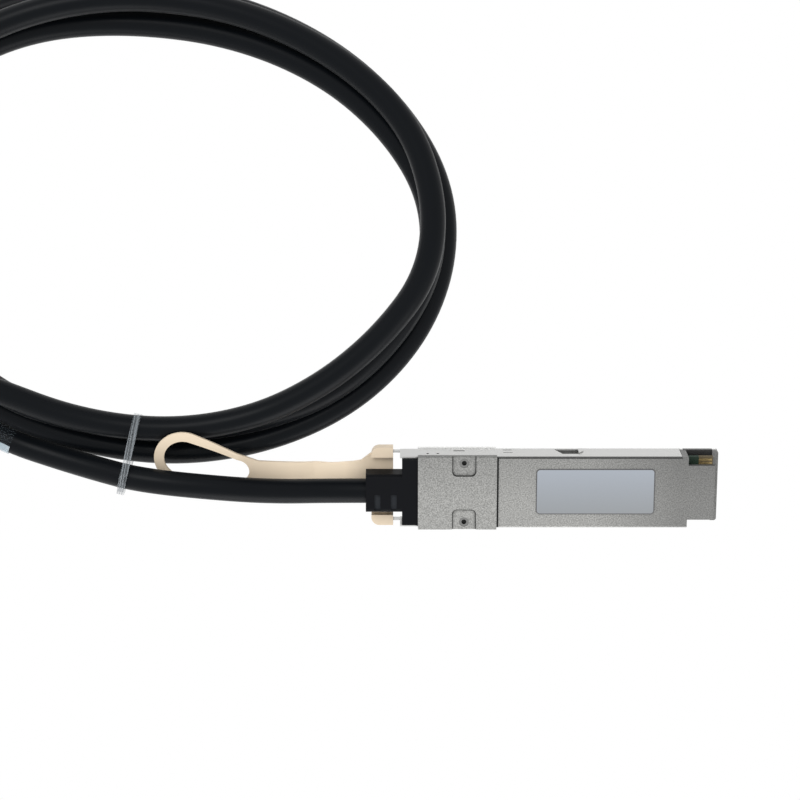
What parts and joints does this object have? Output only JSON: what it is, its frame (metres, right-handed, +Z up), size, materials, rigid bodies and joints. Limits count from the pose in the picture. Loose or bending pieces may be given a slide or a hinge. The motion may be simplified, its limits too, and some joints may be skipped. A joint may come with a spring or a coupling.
{
  "type": "qsfp breakout cable",
  "caption": "Network breakout cable: a wide metal plug with a beige pull tab, a coiled black jacket, a split boot and thin legs, each with a small latched plug.",
  "frame": {"origin": "on the resting surface, under the middle of the wide plug's rear face", "axes": "+X to the wide plug's nose, +Y across it towards the coil, +Z up"},
  "size_m": [0.2907, 0.1719, 0.0202],
  "materials": {
    "cast_zinc": "satin die casting, fine speckle",
    "sheet_steel": "smooth plated sheet",
    "steel": "plain",
    "screw_dark": "dark plated",
    "contact_gold": "smooth plating",
    "card_green": "satin solder mask",
    "wire_sleeve": "satin",
    "boot_black": "satin moulding",
    "label_film": "satin film",
    "tab_beige": "satin moulding",
    "jacket_black": "satin jacket",
    "leg_black": "satin jacket",
    "clear_tie": "clear",
    "clear_sleeve": "clear"
  },
  "bodies": {
    "root": {"blank_label": "label_film", "bundle_tie": "clear_tie", "cable_boot": "boot_black", "cable_coil": "jacket_black", "cable_lead": "jacket_black", "cable_marker": "clear_sleeve", "cable_tail": "jacket_black", "leg_1": "leg_black", "leg_2": "leg_black", "leg_3": "leg_black", "leg_4": "leg_black", "leg_coil": "leg_black", "leg_tie": "clear_tie", "qsfp_contact_pads": "contact_gold", "qsfp_core_wires": "wire_sleeve", "qsfp_cover_screws": "screw_dark", "qsfp_lower_shell": "cast_zinc", "qsfp_paddle_card": "card_green", "qsfp_upper_shell": "cast_zinc", "return_spring_left": "steel", "return_spring_right": "steel", "sfp_1_boot": "boot_black", "sfp_1_lower_shell": "cast_zinc", "sfp_1_paddle_card": "card_green", "sfp_1_upper_shell": "cast_zinc", "sfp_2_boot": "boot_black", "sfp_2_lower_shell": "cast_zinc", "sfp_2_paddle_card": "card_green", "sfp_2_upper_shell": "cast_zinc", "sfp_3_boot": "boot_black", "sfp_3_lower_shell": "cast_zinc", "sfp_3_paddle_card": "card_green", "sfp_3_upper_shell": "cast_zinc", "sfp_4_boot": "boot_black", "sfp_4_lower_shell": "cast_zinc", "sfp_4_paddle_card": "card_green", "sfp_4_upper_shell": "cast_zinc", "split_boot": "boot_black"},
    "release": {"release_arm_left": "sheet_steel", "release_arm_right": "sheet_steel", "pull_tab": "tab_beige"},
    "strap_1": {"sfp_1_pull_strap": "tab_beige"},
    "lever_1": {"sfp_1_latch_lever": "sheet_steel"},
    "strap_2": {"sfp_2_pull_strap": "tab_beige"},
    "lever_2": {"sfp_2_latch_lever": "sheet_steel"},
    "strap_3": {"sfp_3_pull_strap": "tab_beige"},
    "lever_3": {"sfp_3_latch_lever": "sheet_steel"},
    "strap_4": {"sfp_4_pull_strap": "tab_beige"},
    "lever_4": {"sfp_4_latch_lever": "sheet_steel"}
  },
  "joints": [
    {"name": "release_slide", "type": "slide", "parent": "root", "child": "release", "axis": [-1, 0, 0], "range_m": [0, 0.0025], "stiffness_N_per_m": 800, "springref_m": -0.0025, "deforming": ["return_spring_left", "return_spring_right"]},
    {"name": "strap_1_slide", "type": "slide", "parent": "root", "child": "strap_1", "axis": [0, 1, 0], "range_m": [0, 0.002], "stiffness_N_per_m": 500, "springref_m": -0.001},
    {"name": "lever_1_rock", "type": "hinge", "parent": "root", "child": "lever_1", "pos_m": [-0.204, 0.002, 0.0078], "axis": [1, 0, 0], "range_deg": [0, 4]},
    {"name": "strap_2_slide", "type": "slide", "parent": "root", "child": "strap_2", "axis": [0, 1, 0], "range_m": [0, 0.002], "stiffness_N_per_m": 500, "springref_m": -0.001},
    {"name": "lever_2_rock", "type": "hinge", "parent": "root", "child": "lever_2", "pos_m": [-0.189, 0.002, 0.0078], "axis": [1, 0, 0], "range_deg": [0, 4]},
    {"name": "strap_3_slide", "type": "slide", "parent": "root", "child": "strap_3", "axis": [0, 1, 0], "range_m": [0, 0.002], "stiffness_N_per_m": 500, "springref_m": -0.001},
    {"name": "lever_3_rock", "type": "hinge", "parent": "root", "child": "lever_3", "pos_m": [-0.174, 0.002, 0.0078], "axis": [1, 0, 0], "range_deg": [0, 4]},
    {"name": "strap_4_slide", "type": "slide", "parent": "root", "child": "strap_4", "axis": [0, 1, 0], "range_m": [0, 0.002], "stiffness_N_per_m": 500, "springref_m": -0.001},
    {"name": "lever_4_rock", "type": "hinge", "parent": "root", "child": "lever_4", "pos_m": [-0.159, 0.002, 0.0078], "axis": [1, 0, 0], "range_deg": [0, 4]}
  ],
  "couplings": [
    {"joint": "lever_1_rock", "follows": "strap_1_slide", "rad_per_m": 34.837},
    {"joint": "lever_2_rock", "follows": "strap_2_slide", "rad_per_m": 34.837},
    {"joint": "lever_3_rock", "follows": "strap_3_slide", "rad_per_m": 34.837},
    {"joint": "lever_4_rock", "follows": "strap_4_slide", "rad_per_m": 34.837}
  ]
}
